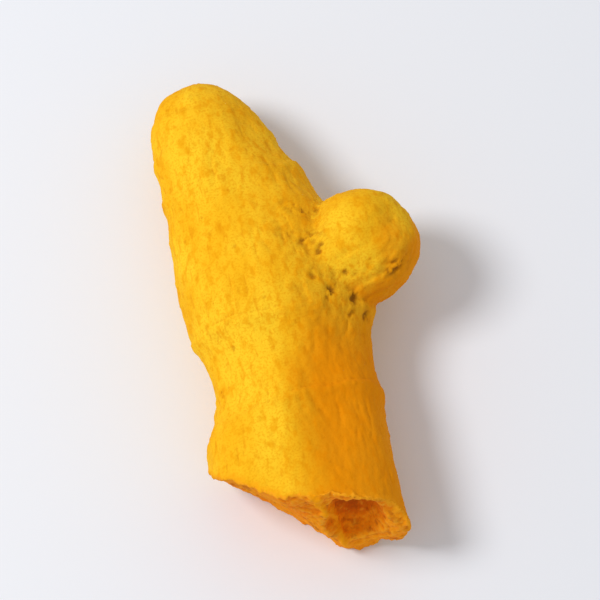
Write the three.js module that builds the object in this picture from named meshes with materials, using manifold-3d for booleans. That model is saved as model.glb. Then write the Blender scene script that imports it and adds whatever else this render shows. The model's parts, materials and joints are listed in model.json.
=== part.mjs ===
// A dried turmeric root: one finger of the rhizome, lying on its flattened underside.
// It has a rounded growing tip, a stubby side bud with a crevice round its neck, low
// leaf-scar rings, shrinkage furrows, and a base end that was snapped off the mother root.
// Millimetres, +Z up. The finger runs along Y with its tip at +Y, and the bud points to +X.
// The origin is under the middle of the root's box, on the surface that it lies on.
import * as THREE from "three";
import { mergeVertices } from "three/addons/utils/BufferGeometryUtils.js";
import Module from "manifold-3d";

const wasm = await Module();
wasm.setup();

// Finger: widths across it, and where they are along it.
const FINGER_LENGTH = 47.0;
const BASE_WIDTH = 17.5;
const HEEL_WIDTH = 17.1; // the flare beside the snapped end
const HEEL_FROM_BASE = 9.6;
const WAIST_WIDTH = 15.3;
const WAIST_FROM_BASE = 17.1;
const BELLY_WIDTH = 17.7;
const BELLY_FROM_BASE = 23.4;
const SHOULDER_WIDTH = 13.9;
const SHOULDER_FROM_TIP = 12.5;
const TIP_WIDTH = 11.3;
const TIP_ROUNDING = 6.5; // length of the domed tip

// How far the middle of the finger stands towards the bud, against the base's.
const HEEL_ASIDE = 0.2;
const WAIST_ASIDE = 1.8;
const BELLY_ASIDE = 1.75;
const SHOULDER_ASIDE = 0.7;
const TIP_ASIDE = -0.9;

const THICKNESS_RATIO = 0.86; // how much flatter than wide the finger dried
const TIP_DROOP = 0.5; // the tip's axis lies this much lower than the base's
const PRESSED_DEPTH = 1.5; // how much of the round underside is pressed flat
const PRESSED_BLEND = 0.8; // height over which the flat turns into the round flank

// Side bud
const BUD_WIDTH = 11.0;
const BUD_NECK_WIDTH = 10.4;
const BUD_STANDOUT = 6.3; // how far its end stands out of the belly's flank
const BUD_NECK_SUNK = 0.9; // its neck starts to widen this far inside that flank
const BUD_FROM_BASE = 23.4;
const BUD_RISE_DEG = 14; // above level
const BUD_LEAN_DEG = 20; // towards the tip

// Surface relief
const RING_HEIGHT = 0.3; // leaf-scar rings
const RING_BREADTH = 0.85;
const FURROW_DEPTH = 0.3; // shrinkage furrows along the finger
const SWELLING_HEIGHT = 0.3;
const BUD_RIB_HEIGHT = 0.25;

// Snapped end: nearly square on the bud's side, and running back past a ridge.
const SNAP_RIDGE_ASIDE = 1.1; // the ridge, from the base's axis towards the bud's side
const SNAP_RIDGE_LEAN = 0.18; // how far it leans away from the bud's side, for each mm up
const SNAP_RUNBACK = 6.0; // how far the break runs back, half a width past the ridge
const SNAP_CURVE = 0.9; // power of the run-back: under 1, the ridge is a crisp crest
const SNAP_UNDERCUT = 3.3; // how much further it runs back at the underside there
const SNAP_ROUGHNESS = 0.37;
const SNAP_CORNER = 1.0; // how much further the corner on the bud's side stands out
const SCOOP_WIDTH = 5.4; // hollow that the break left on the bud's side
const SCOOP_HEIGHT = 9.0;
const SCOOP_DEPTH = 2.8;
const SCOOP_ASIDE = 2.4; // its middle, past the ridge
const SCOOP_RISE = 1.5; // its middle, above the finger's axis

// Mesh fineness
const FINGER_SIDES = 44;
const RING_STEP = 0.95;
const BUD_SIDES = 30;
const DOME_STEPS = 8;
const SNAP_STEP = 1.1;

const radians = THREE.MathUtils.degToRad;

// Each ring stands at a distance from the base and leans: at its angle round the finger,
// from the top towards the bud, it lies further along by the lean.
const leafScarRings = [
  { fromBase: 12.2, lean: 0.8, angle: 60 },
  { fromBase: 21.4, lean: 0.7, angle: 200 },
  { fromBase: 31.6, lean: 1.0, angle: 320 },
  { fromBase: 36.0, lean: 0.6, angle: 150 },
  { fromBase: 39.7, lean: 0.5, angle: 20 },
];

// Soft waves: turns round the finger, wavelength along it, and where they start. In every
// list of waves, the shares add up to 1.
const swellings = [
  { share: 0.45, turns: 2, wavelength: 23, start: 0.6 },
  { share: 0.35, turns: 3, wavelength: 14, start: 2.1 },
  { share: 0.2, turns: 1, wavelength: 9.5, start: 4.0 },
];

// Waves that run round the finger, and turn slowly along it.
const furrows = [
  { share: 0.6, turns: 7, twist: 0.05, start: 0.3 },
  { share: 0.4, turns: 4, twist: -0.07, start: 2.4 },
];

const budRibs = [
  { share: 0.6, turns: 3, twist: 0.05, start: 0 },
  { share: 0.4, turns: 5, twist: 0, start: 1.2 },
];

// Unevenness of the break: radians for each millimetre across it and up it.
const snapWaves = [
  { share: 0.6, across: 0.8, up: 0.45, start: 0 },
  { share: 0.4, across: -1.1, up: 0.6, start: 1.1 },
];

// The finger's width and sideways place all along it, smooth through the stations above.
const shoulderFromBase = FINGER_LENGTH - SHOULDER_FROM_TIP;
const domeFromBase = FINGER_LENGTH - TIP_ROUNDING;
const course = new THREE.CubicInterpolant(
  [0, HEEL_FROM_BASE, WAIST_FROM_BASE, BELLY_FROM_BASE, shoulderFromBase, domeFromBase, FINGER_LENGTH],
  [
    BASE_WIDTH, 0,
    HEEL_WIDTH, HEEL_ASIDE,
    WAIST_WIDTH, WAIST_ASIDE,
    BELLY_WIDTH, BELLY_ASIDE,
    SHOULDER_WIDTH, SHOULDER_ASIDE,
    TIP_WIDTH, (SHOULDER_ASIDE + 2 * TIP_ASIDE) / 3,
    TIP_WIDTH, TIP_ASIDE,
  ],
  2);
const axisHeight = (BELLY_WIDTH * THICKNESS_RATIO) / 2 - PRESSED_DEPTH;

function widthAt(fromBase) {
  return course.evaluate(fromBase)[0];
}

function axisAt(fromBase) {
  const aside = course.evaluate(fromBase)[1];
  const along = fromBase / FINGER_LENGTH;
  return new THREE.Vector3(aside, fromBase, axisHeight - TIP_DROOP * along * along);
}

// Sum of waves that run round an axis, from -1 to 1.
function roundWave(waves, angle, along) {
  return waves.reduce((sum, wave) =>
    sum + wave.share * Math.cos(wave.turns * (angle + wave.twist * along) + wave.start), 0);
}

// Height of the skin over the smooth finger, at a distance from the base and an angle that
// is 0 on top and grows towards the bud.
function fingerRelief(fromBase, angle) {
  const rings = leafScarRings.map((ring) => {
    const place = ring.fromBase + ring.lean * Math.cos(angle - radians(ring.angle));
    const away = (fromBase - place) / RING_BREADTH;
    return RING_HEIGHT * Math.exp(-away * away);
  });
  const waves = swellings.map((wave) =>
    SWELLING_HEIGHT * wave.share
      * Math.cos(wave.turns * angle + wave.start)
      * Math.cos((2 * Math.PI * fromBase) / wave.wavelength + wave.start));
  const grooved = (FURROW_DEPTH * (1 + roundWave(furrows, angle, fromBase))) / 2;
  return [...rings, ...waves].reduce((sum, height) => sum + height, 0) - grooved;
}

// A dome of (radius, distance) points that closes a profile whose rim is given.
function domeOver(rimRadius, rimDistance, height) {
  const points = [];
  for (let i = 1; i <= DOME_STEPS; i += 1) {
    const turn = (i / DOME_STEPS) * (Math.PI / 2);
    const radius = i === DOME_STEPS ? 0 : rimRadius * Math.cos(turn);
    points.push(new THREE.Vector2(radius, rimDistance + height * Math.sin(turn)));
  }
  return points;
}

// Moves every vertex of a geometry by a function of its place.
function reshape(geometry, move) {
  const places = geometry.getAttribute("position");
  const point = new THREE.Vector3();
  for (let i = 0; i < places.count; i += 1) {
    point.fromBufferAttribute(places, i);
    move(point);
    places.setXYZ(i, point.x, point.y, point.z);
  }
  return geometry;
}

function solidOf(geometry) {
  const bare = geometry.clone();
  bare.deleteAttribute("normal");
  bare.deleteAttribute("uv");
  const merged = mergeVertices(bare, 1e-3);
  return new wasm.Manifold(new wasm.Mesh({
    numProp: 3,
    vertProperties: merged.getAttribute("position").array,
    triVerts: new Uint32Array(merged.index.array),
  }));
}

function geometryOf(solid) {
  const mesh = solid.getMesh();
  const geometry = new THREE.BufferGeometry();
  geometry.setAttribute("position", new THREE.BufferAttribute(mesh.vertProperties, 3));
  geometry.setIndex(new THREE.BufferAttribute(mesh.triVerts, 1));
  return geometry;
}

// The underside was pressed flat as the root dried: nothing reaches below the floor, and an
// arc of a parabola joins the flat to the flanks.
function pressFlat(height) {
  const risen = Math.max(0, height + PRESSED_BLEND / 2);
  return risen < PRESSED_BLEND ? risen ** 2 / (2 * PRESSED_BLEND) : height;
}

function makeFinger() {
  const profile = [new THREE.Vector2(0, 0)];
  const steps = Math.ceil(domeFromBase / RING_STEP);
  for (let i = 0; i <= steps; i += 1) {
    const fromBase = (domeFromBase * i) / steps;
    profile.push(new THREE.Vector2(widthAt(fromBase) / 2, fromBase));
  }
  profile.push(...domeOver(TIP_WIDTH / 2, domeFromBase, TIP_ROUNDING));
  return reshape(new THREE.LatheGeometry(profile, FINGER_SIDES), (point) => {
    const radius = Math.hypot(point.x, point.z);
    const angle = Math.atan2(point.x, point.z);
    const domeShare = Math.min(1, radius / (TIP_WIDTH / 2));
    const swollen = radius + fingerRelief(point.y, angle) * domeShare;
    const axis = axisAt(point.y);
    point.x = axis.x + swollen * Math.sin(angle);
    point.z = pressFlat(axis.z + swollen * Math.cos(angle) * THICKNESS_RATIO);
  });
}

function makeBud() {
  const domeLength = BUD_WIDTH / 2;
  const reach = BELLY_WIDTH / 2 + BUD_STANDOUT;
  const neckReach = BELLY_WIDTH / 2 - BUD_NECK_SUNK;
  const rimReach = reach - domeLength;
  const flank = new THREE.CubicInterpolant(
    [0, neckReach, rimReach, reach],
    [BUD_NECK_WIDTH, BUD_NECK_WIDTH, BUD_WIDTH, BUD_WIDTH],
    1);
  const profile = [new THREE.Vector2(0, 0)];
  const steps = Math.ceil(rimReach / RING_STEP);
  for (let i = 0; i <= steps; i += 1) {
    const out = (rimReach * i) / steps;
    profile.push(new THREE.Vector2(flank.evaluate(out)[0] / 2, out));
  }
  profile.push(...domeOver(BUD_WIDTH / 2, rimReach, domeLength));
  const blank = reshape(new THREE.LatheGeometry(profile, BUD_SIDES), (point) => {
    const radius = Math.hypot(point.x, point.z);
    const angle = Math.atan2(point.x, point.z);
    const ribbed = BUD_RIB_HEIGHT * roundWave(budRibs, angle, point.y);
    const swollen = radius * (1 + ribbed / (BUD_WIDTH / 2));
    point.x = swollen * Math.sin(angle);
    point.z = swollen * Math.cos(angle);
  });
  // The blank stands along +Y: lay it towards +X, lean it to the tip and lift it.
  blank.rotateZ(radians(BUD_LEAN_DEG - 90));
  blank.rotateY(-radians(BUD_RISE_DEG));
  const seat = axisAt(BUD_FROM_BASE);
  return blank.translate(seat.x, seat.y, seat.z);
}

// How far along the finger the break stands, over a place on its end.
function snapAt(x, z) {
  const ridge = SNAP_RIDGE_ASIDE - SNAP_RIDGE_LEAN * (z - axisHeight);
  const aside = x - ridge;
  const pastRidge = Math.max(0, -aside) / (BASE_WIDTH / 2);
  const toCorner = Math.min(1, Math.max(0, aside / (BASE_WIDTH / 2 - ridge)));
  const below = Math.min(1, Math.max(0, 1 - z / (2 * axisHeight)));
  const uneven = snapWaves.reduce((sum, wave) =>
    sum + wave.share * Math.cos(wave.across * x + wave.up * z + wave.start), 0);
  return SNAP_ROUGHNESS * (1 + uneven) + SNAP_CORNER * (1 - toCorner)
    + SNAP_RUNBACK * pastRidge ** SNAP_CURVE + SNAP_UNDERCUT * pastRidge * below;
}

// A block whose front face is the break, to cut the finger's end with.
function makeSnapCutter() {
  const reach = BASE_WIDTH * 2;
  const segments = Math.ceil(reach / SNAP_STEP);
  const block = new THREE.BoxGeometry(reach, reach, reach, segments, 1, segments);
  return reshape(block, (point) => {
    point.z += axisHeight;
    if (point.y > 0) point.y = snapAt(point.x, point.z);
  });
}

function makeScoop() {
  const bowl = new THREE.SphereGeometry(1, 20, 14);
  bowl.scale(SCOOP_WIDTH / 2, SCOOP_DEPTH, SCOOP_HEIGHT / 2);
  const across = SNAP_RIDGE_ASIDE + SCOOP_ASIDE;
  return bowl.translate(across, snapAt(across, axisHeight), axisHeight + SCOOP_RISE);
}

function makeRoot() {
  const solid = solidOf(makeFinger())
    .add(solidOf(makeBud()))
    .subtract(solidOf(makeSnapCutter()))
    .subtract(solidOf(makeScoop()));
  const geometry = geometryOf(solid);
  geometry.computeBoundingBox();
  const middle = geometry.boundingBox.getCenter(new THREE.Vector3());
  geometry.translate(-middle.x, -middle.y, 0);
  geometry.computeVertexNormals();
  return geometry;
}

const rind = new THREE.MeshStandardMaterial({ color: "#e8a80f", roughness: 0.9, metalness: 0 });
const turmericRoot = new THREE.Mesh(makeRoot(), rind);
turmericRoot.name = "turmeric_root";

const part = new THREE.Group();
part.add(turmericRoot);
export default part;
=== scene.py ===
import json
import math
import random

import bpy
import numpy as np
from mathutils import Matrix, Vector, noise
from mathutils.bvhtree import BVHTree
from mathutils.kdtree import KDTree

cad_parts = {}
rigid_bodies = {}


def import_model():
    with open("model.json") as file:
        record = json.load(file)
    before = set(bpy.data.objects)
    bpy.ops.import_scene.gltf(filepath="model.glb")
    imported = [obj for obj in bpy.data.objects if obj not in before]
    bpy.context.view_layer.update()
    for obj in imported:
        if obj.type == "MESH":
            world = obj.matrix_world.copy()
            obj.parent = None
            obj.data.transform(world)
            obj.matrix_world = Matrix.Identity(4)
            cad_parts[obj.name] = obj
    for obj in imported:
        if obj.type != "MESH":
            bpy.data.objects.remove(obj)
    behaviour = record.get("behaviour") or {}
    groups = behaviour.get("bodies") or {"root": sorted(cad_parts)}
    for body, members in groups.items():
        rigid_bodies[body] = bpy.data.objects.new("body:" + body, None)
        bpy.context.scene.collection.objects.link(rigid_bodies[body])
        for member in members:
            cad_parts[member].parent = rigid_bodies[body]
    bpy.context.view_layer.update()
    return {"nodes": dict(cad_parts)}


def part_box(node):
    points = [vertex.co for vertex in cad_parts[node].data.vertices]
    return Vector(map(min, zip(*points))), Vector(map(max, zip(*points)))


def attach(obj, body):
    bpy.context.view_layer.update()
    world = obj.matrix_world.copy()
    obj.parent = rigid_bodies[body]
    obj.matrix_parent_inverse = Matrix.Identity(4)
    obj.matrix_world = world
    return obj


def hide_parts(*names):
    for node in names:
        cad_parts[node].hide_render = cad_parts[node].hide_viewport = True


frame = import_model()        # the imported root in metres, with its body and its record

# A dried turmeric finger, lying down: tip at +Y, side bud at +X, snapped end at -Y.
# Sizes are in millimetres unless a name says otherwise, and turn to metres on the mesh.
mm = 0.001
cadNode = frame["nodes"]["turmeric_root"]
rootLow, rootHigh = [np.array(corner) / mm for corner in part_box("turmeric_root")]
print("frame loaded, the root's box in mm is", (rootHigh - rootLow).round(1))


# a colour's sRGB hex code as the linear values that the materials need
def hexColour(code):
    shares = [int(code[i:i + 2], 16) / 255 for i in (1, 3, 5)]
    linear = [s / 12.92 if s <= 0.04045 else ((s + 0.055) / 1.055) ** 2.4 for s in shares]
    return (*linear, 1.0)


# operators act on all that is selected
def pickOnly(piece):
    bpy.ops.object.select_all(action="DESELECT")
    piece.select_set(True)
    bpy.context.view_layer.objects.active = piece


def applyModifier(piece, kind, **settings):
    pickOnly(piece)
    modifier = piece.modifiers.new(kind.lower(), kind)
    for name, value in settings.items():
        setattr(modifier, name, value)
    bpy.ops.object.modifier_apply(modifier=modifier.name)


# vertex places and normals as arrays, in millimetres
def readVertices(piece):
    places = np.zeros(len(piece.data.vertices) * 3)
    piece.data.vertices.foreach_get("co", places)
    return places.reshape(-1, 3) / mm


def readNormals(piece):
    normals = np.zeros(len(piece.data.vertices) * 3)
    piece.data.vertices.foreach_get("normal", normals)
    return normals.reshape(-1, 3)


def writeVertices(piece, places):
    piece.data.vertices.foreach_set("co", (places * mm).ravel())
    piece.data.update()


def readEdges(piece):
    ends = np.zeros(len(piece.data.edges) * 2, dtype=np.int64)
    piece.data.edges.foreach_get("vertices", ends)
    return ends.reshape(-1, 2)


# each pass moves every value halfway to the average of its neighbours
def evenOut(values, edges, passes):
    flat = values.reshape(len(values), -1).astype(float)
    neighbours = np.bincount(edges.ravel(), minlength=len(flat))
    for _ in range(passes):
        for column in flat.T:
            total = np.bincount(edges[:, 0], column[edges[:, 1]], len(flat))
            total += np.bincount(edges[:, 1], column[edges[:, 0]], len(flat))
            column += (total / neighbours - column) / 2
    return flat.reshape(values.shape)


# each noise is moved by its own amount, so that no two of them line up
noiseShift = {
    "rough": 0.0, "flakes": 7.3, "dents": 3, "lumps": 5, "crust": 9, "crumbs": 17, "pocks": 29,
    "ringWander": 11, "ringFade": 23, "wrinkles": 31, "wrinklePatches": 41, "marks": 37,
    "budLobes": 47, "rubbedAndPaintedBounce": 83, "rim": 53, "breakGrain": 61, "fibres": 67, "layers": 73,
    "coreLine": 71, "chippedRim": 79,
}


# soft noise, about -1 to 1, with lumps of the given size, drawn out by the stretch
def cloudy(places, name, size, octaves=2, stretch=(1, 1, 1)):
    scaled = places / (np.array(stretch) * size) + noiseShift[name]
    return np.array([noise.fractal(Vector(place), 1.0, 2.0, octaves) for place in scaled])


# rises smoothly from 0 at the start to 1 at the end
def fade(values, start, end):
    share = np.clip((values - start) / (end - start), 0, 1)
    return share * share * (3 - 2 * share)


# 1 at no distance, and falls off past the width
def bell(distance, width):
    return np.exp(-(distance / width) ** 2)


# how far each place is from the nearest target
def nearest(places, targets):
    tree = KDTree(len(targets))
    for index, target in enumerate(targets):
        tree.insert(Vector(target), index)
    tree.balance()
    return np.array([tree.find(Vector(place))[2] for place in places])


# distance to a line of points, and how far along it each place lies, from 0 to 1
def alongPath(places, path):
    away = np.full(len(places), np.inf)
    share = np.zeros(len(places))
    for index, (start, end) in enumerate(zip(path[:-1], path[1:])):
        span = end - start
        part = np.clip((places - start) @ span / (span @ span), 0, 1)
        distance = np.linalg.norm(places - start - part[:, None] * span, axis=1)
        closer = distance < away
        away[closer] = distance[closer]
        share[closer] = (index + part[closer]) / (len(path) - 1)
    return away, share


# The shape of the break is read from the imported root.
breakFace = {
    "pulledProud": 2.5,     # the coarse end is drawn out this far, then cut back crisply
    "facesBase": 0.3,       # a face belongs to the break if its normal leans this much to -Y
    "farthestBack": 14.0,   # from the base end
    "gridStep": 0.3, "gridMargin": 2, "gridWidth": 24,
    "rayStart": 5,          # rays start this far outside the root
    "cutterDepth": 12.0, "rounding": 0.001,
    "roughSize": 2.0, "roughHeight": 0.18,
    "flakeSize": 0.9, "flakeHeight": 0.12,
    # the skin tore back along the top, from one side of the ridge to past the hollow
    "tornBack": 0.95, "tornHigh": (7.5, 11.0), "tornFrom": (-7.0, -3.5), "tornTo": (3.2, 4.8),
    # the corner on the bud's side stayed on: across, up, and how far it spreads both ways
    "cornerOut": 0.7, "cornerMiddle": (3.6, 3.5), "cornerSpread": (1.6, 4.5),
    "hollowWithin": 120,    # rounds of evening out, against which the hollow stands back
    "hollowFrom": 0.3, "hollowTo": 1.1,
}

cadNodePlaces = [vertex.co / mm for vertex in cadNode.data.vertices]
cadFaces = [tuple(face.vertices) for face in cadNode.data.polygons]
cadSurface = BVHTree.FromPolygons(cadNodePlaces, cadFaces)


# the break's height in Y over a grid of X and Z, filled outwards past the root's edge
def measureBreak():
    step = breakFace["gridStep"]
    margin = breakFace["gridMargin"]
    columns = np.arange(rootLow[0] - margin, rootLow[0] + breakFace["gridWidth"], step)
    rows = np.arange(-margin, rootHigh[2] + margin, step)
    farthest = rootLow[1] + breakFace["farthestBack"]
    heights = np.full((len(columns), len(rows)), np.nan)
    for i, x in enumerate(columns):
        for j, z in enumerate(rows):
            start = Vector((x, rootLow[1] - breakFace["rayStart"], z))
            hit, normal, _, _ = cadSurface.ray_cast(start, Vector((0, 1, 0)))
            if hit and hit.y < farthest and normal.y < -breakFace["facesBase"]:
                heights[i, j] = hit.y
    while np.isnan(heights).any():
        around = np.pad(heights, 1, constant_values=np.nan)
        sides = np.stack([around[:-2, 1:-1], around[2:, 1:-1], around[1:-1, :-2], around[1:-1, 2:]])
        known = (~np.isnan(sides)).sum(axis=0)
        total = np.nansum(sides, axis=0)
        fill = np.isnan(heights) & (known > 0)
        heights[fill] = total[fill] / known[fill]
    return columns, rows, heights


breakColumns, breakRows, breakHeights = measureBreak()


# how far back the break lies of its own surroundings, which shows its hollow
def measureHollow():
    evened = breakHeights.copy()
    for _ in range(breakFace["hollowWithin"]):
        around = np.pad(evened, 1, mode="edge")
        evened = (around[:-2, 1:-1] + around[2:, 1:-1] + around[1:-1, :-2] + around[1:-1, 2:]) / 4
    return breakHeights - evened


# a grid over the break, read at any place, a hair short of its last line
def readGrid(grid, places):
    step = breakFace["gridStep"]
    lastX = len(breakColumns) - 1 - breakFace["rounding"]
    lastZ = len(breakRows) - 1 - breakFace["rounding"]
    i = np.clip((places[:, 0] - breakColumns[0]) / step, 0, lastX)
    j = np.clip((places[:, 2] - breakRows[0]) / step, 0, lastZ)
    i0 = i.astype(int)
    j0 = j.astype(int)
    u = i - i0
    v = j - j0
    low = grid[i0, j0] * (1 - v) + grid[i0, j0 + 1] * v
    high = grid[i0 + 1, j0] * (1 - v) + grid[i0 + 1, j0 + 1] * v
    return low * (1 - u) + high * u


breakHollow = measureHollow()
print("break measured on the packed root")


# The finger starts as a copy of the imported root, evened out and broken off afresh.
finger = {
    "mergeWithin": 0.02,
    "coarseVoxel": 0.32, "softPasses": 14, "softFactor": 0.5,
    "fineVoxel": 0.182,
}


def copyNode():
    root = bpy.data.objects.new("turmericFinger", cadNode.data.copy())
    bpy.context.scene.collection.objects.link(root)
    root.data.materials.clear()
    pickOnly(root)
    bpy.ops.object.mode_set(mode="EDIT")
    bpy.ops.mesh.select_all(action="SELECT")
    bpy.ops.mesh.remove_doubles(threshold=finger["mergeWithin"] * mm)
    bpy.ops.mesh.select_all(action="DESELECT")
    bpy.ops.object.mode_set(mode="OBJECT")
    # the broken end is drawn out, so that rounding it off does no harm
    reach = float(rootLow[1] + breakFace["farthestBack"]) * mm
    for face in root.data.polygons:
        face.select = face.normal.y < -breakFace["facesBase"] and face.center.y < reach
    bpy.ops.object.mode_set(mode="EDIT")
    bpy.ops.transform.translate(value=(0, -breakFace["pulledProud"] * mm, 0))
    bpy.ops.object.mode_set(mode="OBJECT")
    applyModifier(root, "REMESH", mode="VOXEL", voxel_size=finger["coarseVoxel"] * mm)
    applyModifier(root, "SMOOTH", factor=finger["softFactor"], iterations=finger["softPasses"])
    return root


# a slab whose far side has the shape of the break, to cut the drawn-out end with
def makeBreakCutter():
    depth = breakFace["cutterDepth"]
    size = Vector((breakColumns[-1] - breakColumns[0], depth, breakRows[-1] - breakRows[0]))
    middleX = (breakColumns[0] + breakColumns[-1]) / 2
    middleZ = (breakRows[0] + breakRows[-1]) / 2
    middle = Vector((middleX, rootLow[1] - depth / 2, middleZ))
    bpy.ops.object.select_all(action="DESELECT")
    bpy.ops.mesh.primitive_cube_add(size=1, location=middle * mm, scale=size * mm)
    cutter = bpy.context.active_object
    bpy.ops.object.transform_apply(location=True, rotation=True, scale=True)
    for face in cutter.data.polygons:
        face.select = face.normal.y > 0.5        # only the side towards the finger
    bpy.ops.object.mode_set(mode="EDIT")
    bpy.ops.mesh.subdivide(number_cuts=int((breakColumns[-1] - breakColumns[0]) / breakFace["gridStep"]))
    bpy.ops.object.mode_set(mode="OBJECT")
    places = readVertices(cutter)
    front = places[:, 1] > rootLow[1] - breakFace["rounding"]
    face = places[front]
    rough = cloudy(face, "rough", breakFace["roughSize"], 3)
    flakes = np.abs(cloudy(face, "flakes", breakFace["flakeSize"]))
    torn = fade(face[:, 2], *breakFace["tornHigh"]) * fade(face[:, 0], *breakFace["tornFrom"])
    torn *= 1 - fade(face[:, 0], *breakFace["tornTo"])
    cornerAway = (face[:, ::2] - breakFace["cornerMiddle"]) / breakFace["cornerSpread"]
    corner = bell(np.linalg.norm(cornerAway, axis=1), 1)
    places[front, 1] = (
        readGrid(breakHeights, face) + breakFace["roughHeight"] * rough + breakFace["flakeHeight"] * flakes
        + breakFace["tornBack"] * torn - breakFace["cornerOut"] * corner)
    writeVertices(cutter, places)
    return cutter


def snapOff(root):
    cutter = makeBreakCutter()
    applyModifier(root, "BOOLEAN", operation="DIFFERENCE", object=cutter, solver="EXACT")
    bpy.data.objects.remove(cutter)
    applyModifier(root, "REMESH", mode="VOXEL", voxel_size=finger["fineVoxel"] * mm)


root = copyNode()
snapOff(root)
print("root body:", len(root.data.vertices), "vertices")


# Places on the root are told by how far they lie along the finger, round it, and from the bud.
bud = {
    "radius": 5.5,
    "riseDeg": 14, "leanDeg": 20,    # above level, and towards the tip
    "blendFrom": 5.7, "blendTo": 6.3,    # from the bud's middle, where its skin turns into the finger's
    "lobeSize": 4.0, "lobeHeight": 0.28,
    "flatToBase": (0.72, -0.69, 0.0), "flatDepth": 0.15,    # its side that was pressed a little flat
    "flatFades": (0.7, 1.0),
    "crevicePasses": 16, "creviceFades": (0.03, 0.14),    # how the crevice round its foot is found
    "grainShift": 40,                # moves its noises clear of the finger's
}

# where the finger's sections are clear of its ends and its bud
clear = {
    "ofBase": 12, "ofBud": 8, "ofTip": 4,
    "sliceHalf": 0.8,                # half the thickness of a section
}


# the middle of the finger's section at a place along it
def sectionMiddle(y):
    slab = cadVertices[np.abs(cadVertices[:, 1] - y) < clear["sliceHalf"]]
    return ((slab.min(axis=0) + slab.max(axis=0)) / 2)[[0, 2]]


cadVertices = np.array(cadNodePlaces)
budEnd = cadVertices[cadVertices[:, 0].argmax()]
rise, lean = math.radians(bud["riseDeg"]), math.radians(bud["leanDeg"])
budAxis = np.array([math.cos(rise) * math.cos(lean), math.cos(rise) * math.sin(lean), math.sin(rise)])
budMiddle = budEnd - bud["radius"] * np.array([1, 0, 0])
budSide = np.cross(budAxis, (0, 0, 1))
budSide /= np.linalg.norm(budSide)
budTop = np.cross(budSide, budAxis)

# the sections clear of the bud give the finger's axis, and a curve carries it past the bud
clearPlaces = [
    rootLow[1] + clear["ofBase"], budMiddle[1] - clear["ofBud"],
    budMiddle[1] + clear["ofBud"], rootHigh[1] - clear["ofTip"],
]
clearMiddles = np.array([sectionMiddle(y) for y in clearPlaces])
axisCurve = [np.polyfit(clearPlaces, clearMiddles[:, side], 2) for side in (0, 1)]


# angle round the finger, from its top towards the bud
def angleRound(places):
    across = places[:, 0] - np.polyval(axisCurve[0], places[:, 1])
    up = places[:, 2] - np.polyval(axisCurve[1], places[:, 1])
    return np.arctan2(across, up)


# places turned so that Y runs along the grain, on the finger and on the bud
def grainPlaces(places, onBud):
    turned = (places - budMiddle) @ np.stack([budSide, budAxis, budTop], axis=1)
    return np.where(onBud[:, None] > 0.5, turned + bud["grainShift"], places)


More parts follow.
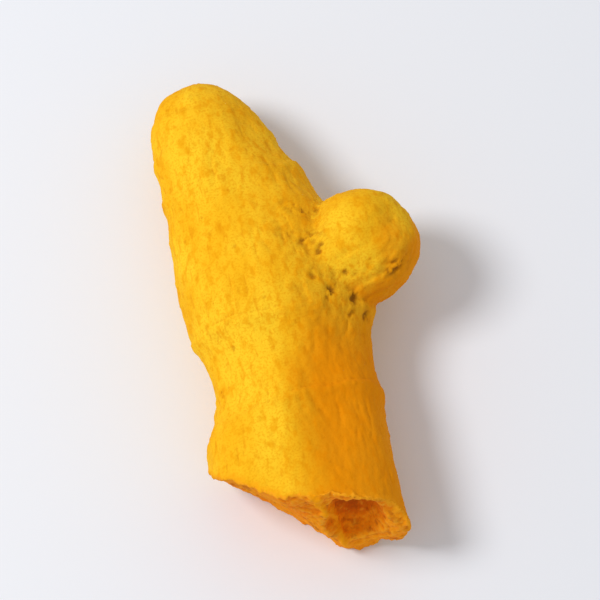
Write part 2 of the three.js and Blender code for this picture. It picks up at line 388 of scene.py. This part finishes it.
# The skin: a dried rind with low rings, fine shrinkage wrinkles, and marks where the bud grew.
skin = {
    "dentSize": 5.5, "dentStretch": 1.5, "dentHeight": 0.16,
    "lumpSize": 2.1, "lumpStretch": 1.6, "lumpHeight": 0.07,
    "wrinkleSize": 1.5, "wrinkleStretch": 3.5, "wrinkleDepth": 0.11, "wrinkleWidth": 0.24,
    "wrinklePatch": 5.0, "wrinklePatchFades": (-0.25, 0.35),
    "crustSize": 0.62, "crustStretch": 1.3, "crustHeight": 0.045,
    "crumbSize": 0.5, "crumbHeight": 0.05, "crumbFades": (0.3, 0.6),
    "rings": [                     # from the base end; height; lean of the ring and its side
        (12.1, 0.1, 0.8, 60), (17.4, 0.05, 0.5, 10), (21.3, 0.11, 0.7, 200), (27.0, 0.05, 0.9, 90),
        (31.5, 0.12, 1.0, 320), (35.9, 0.1, 0.6, 150), (39.6, 0.09, 0.5, 20), (43.0, 0.07, 0.4, 250),
    ],
    "ringBreadth": 0.55, "ringGroove": 0.28, "ringWander": 0.5, "ringWanderSize": 4.0,
    "ringGrooveOut": 0.9, "ringGrooveDepth": 0.9,    # as shares of its breadth and its height
    # every ring fades in places, and each at a strength of its own
    "ringFadeSize": 6.0, "ringFades": (-0.45, 0.15), "ringVaries": 0.35, "ringVariesBy": 2.4,
    "creviceDepth": 0.4, "creaseDepth": 0.2,
    "pockSize": 1.1, "pockFades": (-0.3, 0.4), "pockShadeFades": (-0.4, 0.5),
    # puckers round the bud, seen from above: degrees round its middle from +X, distance from
    # its middle, length, degrees turned from pointing at the middle, half width, darkness
    "puckers": [
        (145, 6.5, 2.5, 0, 0.4, 0.8), (170, 7.0, 1.0, 0, 0.35, 0.5), (175, 5.0, 2.0, 20, 0.5, 0.9),
        (205, 6.0, 1.0, 0, 0.35, 0.4), (230, 6.5, 2.0, 10, 0.5, 0.9), (250, 6.0, 1.5, 0, 0.45, 0.85),
        (260, 7.0, 1.0, 0, 0.5, 0.85), (300, 4.5, 2.5, 90, 0.6, 0.85), (225, 9.0, 3.5, 70, 0.4, 0.2),
    ],
    # noise breaks the puckers up, frays their edges, and soils the skin round them
    "puckerDepth": 0.32, "puckerEnds": 0.1, "puckerFades": (0.5, -0.3), "puckerDark": 1.1,
    "raggedMarks": 0.24, "raggedSize": 0.7,
    "soiled": 0.3, "soiledFades": (0.6, -0.4), "soiledWidth": 3.2,
    # pits strewn among the puckers, then everywhere; their rims are shares of depth and radius
    "seed": 12, "darkestDepth": 0.36,
    "pitRim": 0.15, "strayRim": 0.1, "pitRimOut": 1.5, "pitRimWidth": 0.5,
    "footPits": 9, "footPitAngles": (145, 255), "footPitReach": (4.0, 7.5),
    "footPitRadius": (0.25, 0.5), "footPitDepth": (0.1, 0.28),
    "strayPits": 40, "strayRadius": (0.12, 0.28), "strayDepth": (0.06, 0.18),
    "rootScars": [                 # angle round the finger, from the base end, radius
        (-100, 14.4, 0.75), (-126, 23.2, 0.65), (104, 18.0, 0.8), (150, 26.3, 0.7), (-150, 32.4, 0.6),
        (128, 34.8, 0.6), (172, 15.8, 0.85), (-104, 38.2, 0.5),
    ],
    # a scar's ring, dimple and bare patch are shares of its height and its radius
    "scarHeight": 0.14, "scarRing": 0.35, "dimpleDepth": 1.1, "dimpleWidth": 0.55, "scarBare": 0.8,
    "scarRay": 20,                 # farther from the axis than the skin
}

# Below the bud the flank dried nearly flat, past a soft edge that runs to the ridge of the
# break, and its powder was rubbed off; the same mask also paints orange bounce light on this
# shaded flank and on the bud's shaded side. Angles are in degrees, from the finger's top towards
# the bud, and the fades are from the base end.
flank = {
    "edgeAngle": -10, "edgeSpread": 12, "edgeHeight": 0.14,
    "flatAngle": 31, "flatSpread": 27, "flatDepth": 0.55,
    "flatFades": (13.0, 21.0),
    "rubbedBounceAngles": (-28, 34), "farAngles": (100, 140),
    "rubbedBounceFades": (13.0, 24.0), "rubbedBounceBeyond": 0.3, "rubbedBounceBud": 0.85, "rubbedBounceBudFades": (0.1, 0.9),
    "cloudSize": 3.0, "cloudStretch": 2, "cloudTurn": 16, "cloudOnBud": 0.3,
}

# How bare flesh is told from skin on the broken finger.
fleshSigns = {
    "facesBase": 0.35, "facesInwards": 0.05, "facesDown": 0.9,
    "deepInside": 0.75,              # as a share of the half widths of the section
    "sectionAt": 6, "leastOut": 0.1,
    "halfWide": 0.36,                # as a share of the root's width with its bud
    "evenPasses": 2, "rimWithin": 0.25, "skinBelow": 0.05,
}


# how far each vertex lies below the evened-out surface
def hollowness(places, normals, edges, passes):
    return ((evenOut(places, edges, passes) - places) * normals).sum(axis=1)


# which vertices are bare flesh: they face the base, face inwards, or lie deep inside
def fleshShare(places, normals, edges):
    middle = sectionMiddle(rootLow[1] + fleshSigns["sectionAt"])
    outwards = places - np.array([middle[0], 0, middle[1]])
    outwards[:, 1] = 0
    halfWide = (rootHigh[0] - rootLow[0]) * fleshSigns["halfWide"]
    halfHigh = np.where(outwards[:, 2] > 0, rootHigh[2] - middle[1], middle[1])
    depth = np.hypot(outwards[:, 0] / halfWide, outwards[:, 2] / halfHigh)
    reach = np.maximum(np.linalg.norm(outwards, axis=1), fleshSigns["leastOut"])
    facing = (normals * outwards).sum(axis=1) / reach
    broken = (normals[:, 1] < -fleshSigns["facesBase"]) | (facing < -fleshSigns["facesInwards"])
    broken |= depth < fleshSigns["deepInside"]
    broken &= places[:, 1] < rootLow[1] + breakFace["farthestBack"]
    broken &= normals[:, 2] > -fleshSigns["facesDown"]
    return evenOut(broken.astype(float), edges, fleshSigns["evenPasses"])


# every measure of the root's surface that the carving and the finishes use
def surveyRoot(root):
    places = readVertices(root)
    normals = readNormals(root)
    edges = readEdges(root)
    flesh = fleshShare(places, normals, edges)
    rim = places[np.abs(flesh - 0.5) < fleshSigns["rimWithin"]]
    onBud = 1 - fade(np.linalg.norm(places - budMiddle, axis=1), bud["blendFrom"], bud["blendTo"])
    hollow = hollowness(places, normals, edges, bud["crevicePasses"])
    return {
        "places": places, "normals": normals, "edges": edges, "flesh": flesh,
        "rimAway": nearest(places, rim), "onBud": onBud,
        "crevice": fade(hollow, *bud["creviceFades"]) * (1 - flesh),
        "fromBase": places[:, 1] - rootLow[1], "angle": angleRound(places),
        "grain": grainPlaces(places, onBud),
    }


# leaf-scar rings: a low ridge with a narrow groove on its tip side, which wanders and fades
def carveRings(survey):
    height = np.zeros(len(survey["places"]))
    wander = cloudy(survey["places"], "ringWander", skin["ringWanderSize"])
    strength = cloudy(survey["places"], "ringFade", skin["ringFadeSize"], 1)
    for index, (fromBase, rise, leaning, leanAngle) in enumerate(skin["rings"]):
        line = fromBase + leaning * np.cos(survey["angle"] - math.radians(leanAngle))
        away = survey["fromBase"] - line - skin["ringWander"] * wander
        varied = strength + skin["ringVaries"] * math.cos(index * skin["ringVariesBy"])
        ridge = bell(away, skin["ringBreadth"])
        groove = bell(away - skin["ringBreadth"] * skin["ringGrooveOut"], skin["ringGroove"])
        height += rise * fade(varied, *skin["ringFades"]) * (ridge - skin["ringGrooveDepth"] * groove)
    return height * (1 - survey["onBud"])


# the soft edge, and the flat side past it
def carveFlank(survey):
    degrees = np.degrees(survey["angle"])
    edge = flank["edgeHeight"] * bell(degrees - flank["edgeAngle"], flank["edgeSpread"])
    flat = flank["flatDepth"] * bell(degrees - flank["flatAngle"], flank["flatSpread"])
    return (edge - flat) * (1 - fade(survey["fromBase"], *flank["flatFades"]))


def carveBud(survey):
    lobes = bud["lobeHeight"] * cloudy(survey["places"], "budLobes", bud["lobeSize"])
    facing = survey["normals"] @ np.array(bud["flatToBase"])
    return (lobes - bud["flatDepth"] * fade(facing, *bud["flatFades"])) * survey["onBud"]


# where the powder was rubbed off on the bud's side, with a cloudy border, and painted orange bounce light
# on the shaded flank and the bud's shaded side
def paintRubbedAndBounce(survey):
    clouds = cloudy(survey["places"], "rubbedAndPaintedBounce", flank["cloudSize"], 2, (1, flank["cloudStretch"], 1))
    degrees = np.degrees(survey["angle"]) + flank["cloudTurn"] * clouds
    onFlank = fade(degrees, *flank["rubbedBounceAngles"]) * (1 - fade(degrees, *flank["farAngles"]))
    beyond = 1 - (1 - flank["rubbedBounceBeyond"]) * fade(survey["fromBase"], *flank["rubbedBounceFades"])
    facing = survey["normals"] @ np.array(bud["flatToBase"]) + flank["cloudOnBud"] * clouds
    # painted orange bounce light on the bud's shaded side
    onBud = flank["rubbedBounceBud"] * fade(facing, *flank["rubbedBounceBudFades"])
    return onFlank * beyond * (1 - survey["onBud"]) + onBud * survey["onBud"]


# fine shrinkage wrinkles along the grain, in patches
def carveWrinkles(survey):
    along = (1, skin["wrinkleStretch"], 1)
    crossing = np.abs(cloudy(survey["grain"], "wrinkles", skin["wrinkleSize"], 2, along))
    patches = cloudy(survey["places"], "wrinklePatches", skin["wrinklePatch"])
    depth = skin["wrinkleDepth"] * bell(crossing, skin["wrinkleWidth"])
    return -depth * fade(patches, *skin["wrinklePatchFades"])


# a step of 1 mm in a direction seen from above, in degrees from +X
def headingOf(degrees):
    return np.array([math.cos(math.radians(degrees)), math.sin(math.radians(degrees))])


# the skin straight below a place that is told from the bud's middle
def onSkinBelow(surface, across, along):
    start = Vector((budMiddle[0] + across, budMiddle[1] + along, rootHigh[2] + breakFace["rayStart"]))
    return np.array(surface.ray_cast(start, Vector((0, 0, -1)))[0])


# puckers round the bud and pits, with how dark they are: their brown, and painted shade in them
def carveMarks(survey, surface, draw):
    places = survey["places"]
    height = np.zeros(len(places))
    brownMarksAndShade = np.zeros(len(places))
    torn = cloudy(places, "marks", skin["raggedSize"], 3)

    def press(centre, radius, depth, rim):
        away = np.linalg.norm(places - centre, axis=1) + skin["raggedMarks"] * torn
        raised = bell(away - radius * skin["pitRimOut"], radius * skin["pitRimWidth"])
        height[:] += -depth * bell(away, radius) + rim * depth * raised
        # painted shade in the pit, darker the deeper it is
        brownMarksAndShade[:] = np.maximum(brownMarksAndShade, bell(away, radius) * min(1, depth / skin["darkestDepth"]))

    for degrees, reach, length, turned, width, darkness in skin["puckers"]:
        middle = reach * headingOf(degrees)
        half = length / 2 * headingOf(degrees + turned)
        points = [onSkinBelow(surface, *(middle + share * half)) for share in (-1, 0, 1)]
        away, share = alongPath(places, points)
        away += skin["raggedMarks"] * torn
        inwards = skin["puckerEnds"] + (1 - 2 * skin["puckerEnds"]) * share
        taper = np.sin(math.pi * inwards) * fade(torn, *skin["puckerFades"])
        height -= skin["puckerDepth"] * darkness * taper * bell(away, width)
        soiled = skin["soiled"] * fade(torn, *skin["soiledFades"]) * bell(away, width * skin["soiledWidth"])
        # painted shade along the pucker's crease, over its brown
        brownMarksAndShade[:] = np.maximum(brownMarksAndShade, darkness * taper * bell(away, width * skin["puckerDark"]))
        brownMarksAndShade[:] = np.maximum(brownMarksAndShade, soiled)
    for _ in range(skin["footPits"]):
        place = draw.uniform(*skin["footPitReach"]) * headingOf(draw.uniform(*skin["footPitAngles"]))
        radius = draw.uniform(*skin["footPitRadius"])
        press(onSkinBelow(surface, *place), radius, draw.uniform(*skin["footPitDepth"]), skin["pitRim"])
    skinPlaces = places[survey["flesh"] < fleshSigns["skinBelow"]]
    for _ in range(skin["strayPits"]):
        centre = skinPlaces[draw.randrange(len(skinPlaces))]
        radius = draw.uniform(*skin["strayRadius"])
        press(centre, radius, draw.uniform(*skin["strayDepth"]), skin["strayRim"])
    return height, brownMarksAndShade


# round scars where rootlets dropped off: a raised ring with a dimple in it
def carveRootScars(survey, surface):
    places = survey["places"]
    height = np.zeros(len(places))
    bare = np.zeros(len(places))
    for degrees, fromBase, radius in skin["rootScars"]:
        y = rootLow[1] + fromBase
        middle = Vector((np.polyval(axisCurve[0], y), y, np.polyval(axisCurve[1], y)))
        outwards = Vector((math.sin(math.radians(degrees)), 0, math.cos(math.radians(degrees))))
        centre = surface.ray_cast(middle + outwards * skin["scarRay"], -outwards)[0]
        away = np.linalg.norm(places - np.array(centre), axis=1)
        ring = bell(away - radius, radius * skin["scarRing"])
        dimple = skin["dimpleDepth"] * bell(away, radius * skin["dimpleWidth"])
        height += skin["scarHeight"] * (ring - dimple)
        bare = np.maximum(bare, bell(away, radius * skin["scarBare"]))
    return height, bare


# everything that the skin is carved with, and what its finish needs to know
def carveSkin(root):
    survey = surveyRoot(root)
    places, grain = survey["places"], survey["grain"]
    rootFaces = [face.vertices for face in root.data.polygons]
    surface = BVHTree.FromPolygons([Vector(place) for place in places], rootFaces)
    dents = cloudy(places, "dents", skin["dentSize"], 2, (1, skin["dentStretch"], 1))
    lumps = cloudy(grain, "lumps", skin["lumpSize"], 2, (1, skin["lumpStretch"], 1))
    crust = cloudy(grain, "crust", skin["crustSize"], 2, (1, skin["crustStretch"], 1))
    crumbs = cloudy(places, "crumbs", skin["crumbSize"], 1)
    pocks = cloudy(places, "pocks", skin["pockSize"])
    height = skin["dentHeight"] * dents
    height += skin["lumpHeight"] * lumps
    height += carveRings(survey) + carveWrinkles(survey) + carveFlank(survey) + carveBud(survey)
    height += skin["crustHeight"] * crust
    height += skin["crumbHeight"] * fade(crumbs, *skin["crumbFades"])
    crevice = skin["creviceDepth"] * fade(pocks, *skin["pockFades"]) + skin["creaseDepth"]
    height -= survey["crevice"] * crevice
    markHeight, brownMarksAndShade = carveMarks(survey, surface, random.Random(skin["seed"]))
    scarHeight, bare = carveRootScars(survey, surface)
    height += markHeight + scarHeight
    height *= (1 - survey["flesh"])
    places += survey["normals"] * height[:, None]
    # painted shade down in the crevice round the bud's foot, in patches
    survey["brownMarksAndShade"] = np.maximum(brownMarksAndShade, survey["crevice"] * fade(pocks, *skin["pockShadeFades"]))
    survey["bare"] = bare
    # rubbed-off powder, and painted orange bounce light on the shaded flank and bud side
    survey["rubbedAndPaintedBounce"] = paintRubbedAndBounce(survey)
    print("skin carved")
    return survey


# The snapped end: granular flesh, with torn fibres, a ragged rim, and the line of its core.
snap = {
    "raggedSize": 1.0, "raggedReach": 0.42, "raggedWidth": 0.75,
    "lipHeight": 0.12, "lipWidth": 0.35,
    "grainSize": 0.7, "grainHeight": 0.11,
    "fibreSize": 0.6, "fibreStretch": 5, "fibreHeight": 0.04, "fibreWidth": 0.12,
    # torn layers, along the rim
    "layerStep": 1.3, "layerHeight": 0.06, "layerWander": 1.0, "layerWanderSize": 1.6,
    # the crest of the ridge that runs down the break
    "crestFoot": -0.8, "crestLean": -0.23, "crestWidth": 0.4, "crestHeight": 0.32, "crestWander": 0.3,
    # the line between the flesh's rim and its core
    "steleDepth": 2.3, "steleWidth": 0.2, "steleWander": 0.5, "steleWanderSize": 2.0,
    "chippedSize": 0.9,    # how coarsely the skin's colour chips along the rim
}

# How far a vertex lies below or above its surroundings where it counts as sunk, which takes painted shade,
# and where it counts as worn, which takes wear and painted highlight.
shadeAndWear = {"passes": 5, "sunkFades": (0.005, 0.045), "wornAndHighlitFades": (0.008, 0.04)}


def carveBreak(survey):
    places, normals, flesh = survey["places"], survey["normals"], survey["flesh"]
    nearRim = bell(survey["rimAway"], snap["raggedWidth"])
    ragged = cloudy(places, "rim", snap["raggedSize"], 3)
    places[:, 1] += snap["raggedReach"] * ragged * nearRim
    lip = snap["lipHeight"] * bell(survey["rimAway"], snap["lipWidth"]) * (1 - flesh)
    places += normals * lip[:, None]
    crumbly = cloudy(places, "breakGrain", snap["grainSize"], 3)
    fibres = np.abs(cloudy(places, "fibres", snap["fibreSize"], 2, (1, 1, snap["fibreStretch"])))
    wander = cloudy(places, "layers", snap["layerWanderSize"])
    layersOut = survey["rimAway"] + snap["layerWander"] * wander
    layers = snap["layerHeight"] * np.cos(2 * math.pi * layersOut / snap["layerStep"])
    crestAway = places[:, 0] - snap["crestFoot"] - snap["crestLean"] * places[:, 2]
    survey["crest"] = bell(crestAway + snap["crestWander"] * ragged, snap["crestWidth"])
    grooves = snap["fibreHeight"] * bell(fibres, snap["fibreWidth"])
    height = snap["grainHeight"] * crumbly - grooves + layers
    height += snap["crestHeight"] * survey["crest"]
    places += normals * (height * flesh * (1 - nearRim))[:, None]
    print("break carved")


# writes the carved shape, and on each vertex the values that its finish reads
def finishRoot(root, survey):
    places = survey["places"]
    places[:, 2] = np.maximum(places[:, 2], 0)    # nothing sinks into what the root lies on
    writeVertices(root, places)
    hollow = hollowness(places, readNormals(root), survey["edges"], shadeAndWear["passes"])
    # sunk places take painted shade
    survey["sunk"] = fade(hollow, *shadeAndWear["sunkFades"])
    # worn places take wear on the rind and painted highlight on the flesh
    survey["wornAndHighlit"] = fade(-hollow, *shadeAndWear["wornAndHighlitFades"])
    wander = snap["steleWander"] * cloudy(places, "coreLine", snap["steleWanderSize"])
    survey["stele"] = bell(survey["rimAway"] - snap["steleDepth"] - wander, snap["steleWidth"])
    survey["rimAway"] += snap["raggedReach"] * cloudy(places, "chippedRim", snap["chippedSize"])
    survey["hollow"] = fade(readGrid(breakHollow, places), breakFace["hollowFrom"], breakFace["hollowTo"])
    for name in ("rimAway", "stele", "hollow", "crest", "brownMarksAndShade", "bare", "rubbedAndPaintedBounce", "sunk", "wornAndHighlit"):
        layer = root.data.attributes.new(name, "FLOAT", "POINT")
        layer.data.foreach_set("value", survey[name].astype(np.float32))
    bareFlesh = survey["flesh"] > 0.5
    for face in root.data.polygons:
        face.material_index = int(bareFlesh[list(face.vertices)].sum() >= 2)
    pickOnly(root)
    bpy.ops.object.shade_smooth()


survey = carveSkin(root)
carveBreak(survey)


# a link gives the node that it comes from, with its output where that isn't the first
def addNode(tree, kind, settings=None, links=None):
    node = tree.nodes.new(kind)
    for name, value in (settings or {}).items():
        if isinstance(name, int) or name in node.inputs:
            node.inputs[name].default_value = value
        else:
            setattr(node, name, value)
    for name, source in (links or {}).items():
        source, output = source if isinstance(source, tuple) else (source, 0)
        tree.links.new(source.outputs[output], node.inputs[name])
    return node


# noises with lumps of a real size in millimetres, drawn out along the finger
def addPatterns(tree, patterns):
    coordinates = addNode(tree, "ShaderNodeTexCoord")
    made = {}
    for name, (size, stretch, detail, shift) in patterns.items():
        scale = 1 / (size * mm)
        placed = addNode(tree, "ShaderNodeMapping", {
            "Scale": (scale, scale / stretch, scale), "Location": (shift, shift, shift),
        }, {"Vector": (coordinates, "Object")})
        settings = {"Scale": 1.0, "Detail": detail}
        made[name] = addNode(tree, "ShaderNodeTexNoise", settings, {"Vector": placed})
    return made


# lays coats of colour over a base, each where its pattern or its attribute is strong; a colour
# mix takes its share at input 0 and its colours at 6 and 7, and gives the colour at output 2
def addCoats(tree, base, coats, patterns):
    under = None
    for source, start, end, strength, colour in coats:
        where = patterns.get(source)
        if where is None:
            where = (addNode(tree, "ShaderNodeAttribute", {"attribute_name": source}), "Fac")
        cover = addNode(tree, "ShaderNodeMapRange", {
            "interpolation_type": "SMOOTHSTEP", "From Min": start, "From Max": end, "To Max": strength,
        }, {"Value": where})
        settings = {"data_type": "RGBA", 7: hexColour(colour)}
        links = {0: cover}
        if under is None:
            settings[6] = hexColour(base)
        else:
            links[6] = (under, 2)
        under = addNode(tree, "ShaderNodeMix", settings, links)
    return (under, 2)


# bumps finer than the mesh, laid one on another
def addBumps(tree, patterns, bumps):
    normal = None
    for name, height in bumps:
        links = {"Height": patterns[name]}
        if normal:
            links["Normal"] = normal
        normal = addNode(tree, "ShaderNodeBump", {"Distance": height * mm, "Strength": 1.0}, links)
    return normal


def newTree(name):
    material = bpy.data.materials.new(name)
    material.use_nodes = True
    material.node_tree.nodes.clear()
    return material, material.node_tree


# A pattern is its size in mm, its stretch along the finger, its detail and its shift.
# A coat is a pattern or an attribute, where it starts and is full, its strength and colour.
rindLook = {
    "patterns": {
        "clouds": (4.5, 1.5, 3.0, 0.0),
        "mottle": (0.75, 1.6, 3.0, 4.0),
        "grain": (0.2, 1.0, 2.0, 9.0),       # real powder is finer, and wouldn't show
        "streaks": (0.6, 3.5, 3.0, 15.0),
        "specks": (0.9, 1.2, 4.0, 21.0),
    },
    "base": "#f6b71a",
    "coats": [
        ("clouds", 0.35, 0.65, 1.0, "#fbc928"),      # powder lies thick
        ("mottle", 0.48, 0.7, 0.7, "#eca008"),       # powder lies thin
        ("grain", 0.45, 0.68, 0.45, "#e69804"),
        ("rubbedAndPaintedBounce", 0.0, 1.0, 0.8, "#ee8800"),        # flank where the powder was rubbed off, and painted orange bounce light on its shaded side
        ("wornAndHighlit", 0.0, 1.0, 0.15, "#e08a00"),         # high spots rubbed down to the skin
        ("streaks", 0.56, 0.74, 0.5, "#e08a00"),
        ("specks", 0.66, 0.76, 0.35, "#c87200"),
        ("sunk", 0.0, 1.0, 0.3, "#c87200"),          # painted shade in shrinkage grooves and hollows
        ("bare", 0.0, 1.0, 0.55, "#c87200"),         # root scars
        ("rimAway", 0.6, 0.1, 0.5, "#f8a010"),       # skin chipped at the break
        ("brownMarksAndShade", 0.0, 1.0, 0.8, "#6c3a12"),          # pits and puckers: their brown, and painted shade in them and in the bud's crevice
    ],
    "bumps": [("mottle", 0.03), ("grain", 0.025)],
    "roughness": 0.93, "specular": 0.06,
}


# one of the root's two finishes, out of its look
def makeFinish(name, look):
    material, tree = newTree(name)
    patterns = addPatterns(tree, look["patterns"])
    shader = addNode(tree, "ShaderNodeBsdfPrincipled", {
        "Roughness": look["roughness"], "Specular IOR Level": look["specular"],
    }, {
        "Base Color": addCoats(tree, look["base"], look["coats"], patterns),
        "Normal": addBumps(tree, patterns, look["bumps"]),
    })
    addNode(tree, "ShaderNodeOutputMaterial", None, {"Surface": shader})
    return material


# Dried turmeric rind, tumbled in its own powder: chalky and matte, pale where the powder
# lies thick, deeper orange where it rubbed off and where orange bounce light is painted on the shaded side,
# and dark brown, with painted shade, down in the pits.
def powderedRind():
    return makeFinish("powder-dusted turmeric rind", rindLook)


fleshLook = {
    "patterns": {
        "blotches": (2.4, 1.0, 3.0, 2.0),
        "grain": (0.3, 1.0, 3.0, 6.0),       # drawn coarser than the real grain, so that it shows
        "fibres": (0.35, 5.0, 2.0, 12.0),
        "stains": (1.2, 1.0, 3.0, 17.0),
    },
    # the base, and the coats over it, are drawn lighter than the flesh itself, as painted bounce light on
    # the break's shaded face
    "base": "#ff9c10",
    "coats": [
        ("blotches", 0.45, 0.66, 0.6, "#f47806"),    # resin came to the surface
        ("fibres", 0.58, 0.72, 0.5, "#ffb030"),      # pale torn fibres
        ("grain", 0.55, 0.75, 0.35, "#d86606"),
        ("hollow", 0.0, 1.0, 0.7, "#cc5c06"),        # the core's deeper orange, and painted shade, in the hollow
        ("stains", 0.54, 0.68, 0.5, "#a4480e"),
        # painted shade in the break's small hollows
        ("sunk", 0.0, 1.0, 0.3, "#c05808"),
        ("stele", 0.0, 1.0, 0.2, "#c86008"),         # the line round the core
        ("wornAndHighlit", 0.1, 0.9, 0.4, "#ffb42c"),          # high spots paler: caught powder, and painted highlight
        ("rimAway", 0.4, 0.05, 0.7, "#ffaa1c"),      # pale edge under the skin
        ("crest", 0.15, 0.8, 0.9, "#ffa40a"),        # the ridge's crest paler: caught powder, and painted highlight
    ],
    "bumps": [("grain", 0.05)],
    "roughness": 0.8, "specular": 0.06,
}


# Turmeric flesh where the finger was snapped: hard, resinous and granular, bright orange, drawn
# lighter as painted bounce light, with paler fibres, crests paler with caught powder and painted highlight,
# and a deeper orange-brown with painted shade down in its hollow.
def snappedFlesh():
    return makeFinish("snapped turmeric flesh", fleshLook)


root.data.materials.append(powderedRind())
root.data.materials.append(snappedFlesh())
finishRoot(root, survey)
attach(root, "root")
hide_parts("turmeric_root")
print("root finished:", len(root.data.polygons), "faces")


# A plain pale floor, a soft key light from the upper left, and the camera.
studio = {
    # in metres and degrees, but for the lens and the aim in millimetres; the key comes from
    # this far across, up and towards the viewer
    "floorColour": "#eef0f6", "floorSize": 2.0, "floorRoughness": 0.9, "floorSpecular": 0.1,
    "skyColour": "#ffffff", "skyStrength": 0.54,
    "keySize": 0.16, "keyPower": 1.13, "keyFrom": (-0.62, 0.3, 0.78), "keyDistance": 0.45,
    "viewAzimuth": -14, "viewElevation": 70, "lens": 300, "viewDistance": 0.462,
    "clipStart": 0.01, "clipEnd": 10, "aim": (0.0, 0.0, 6.5),
}


def setStage():
    bpy.ops.object.select_all(action="DESELECT")
    bpy.ops.mesh.primitive_plane_add(size=studio["floorSize"], location=(0, 0, 0))
    floor = bpy.context.active_object
    floor.name = "floor"
    material, tree = newTree("plain pale floor")
    shader = addNode(tree, "ShaderNodeBsdfPrincipled", {
        "Base Color": hexColour(studio["floorColour"]),
        "Roughness": studio["floorRoughness"], "Specular IOR Level": studio["floorSpecular"],
    })
    addNode(tree, "ShaderNodeOutputMaterial", None, {"Surface": shader})
    floor.data.materials.append(material)

    world = bpy.data.worlds.new("studio")
    world.use_nodes = True
    bpy.context.scene.world = world
    sky = world.node_tree.nodes["Background"]
    sky.inputs["Color"].default_value = hexColour(studio["skyColour"])
    sky.inputs["Strength"].default_value = studio["skyStrength"]


# across, up and towards the viewer, as the camera sees the root
def viewAxes():
    azimuth = math.radians(studio["viewAzimuth"])
    elevation = math.radians(studio["viewElevation"])
    level = math.cos(elevation)
    back = Vector((math.sin(azimuth) * level, -math.cos(azimuth) * level, math.sin(elevation)))
    across = Vector((math.cos(azimuth), math.sin(azimuth), 0))
    return across, back.cross(across), back


def pointAt(thing, place, target):
    thing.location = place
    thing.rotation_euler = (target - place).to_track_quat("-Z", "Y").to_euler()
    bpy.context.scene.collection.objects.link(thing)


def setLight():
    across, up, back = viewAxes()
    target = Vector(studio["aim"]) * mm
    key = bpy.data.lights.new("key", "AREA")
    key.shape = "DISK"
    key.size = studio["keySize"]
    key.energy = studio["keyPower"]
    fromAcross, fromUp, fromBack = studio["keyFrom"]
    direction = (across * fromAcross + up * fromUp + back * fromBack).normalized()
    pointAt(bpy.data.objects.new("key", key), target + direction * studio["keyDistance"], target)


def setCamera():
    camera = bpy.data.cameras.new("camera")
    camera.lens = studio["lens"]
    camera.clip_start = studio["clipStart"]
    camera.clip_end = studio["clipEnd"]
    target = Vector(studio["aim"]) * mm
    place = target + viewAxes()[2] * studio["viewDistance"]
    viewer = bpy.data.objects.new("camera", camera)
    pointAt(viewer, place, target)
    bpy.context.scene.camera = viewer
    bpy.context.scene.view_settings.view_transform = "Standard"


setStage()
setLight()
setCamera()
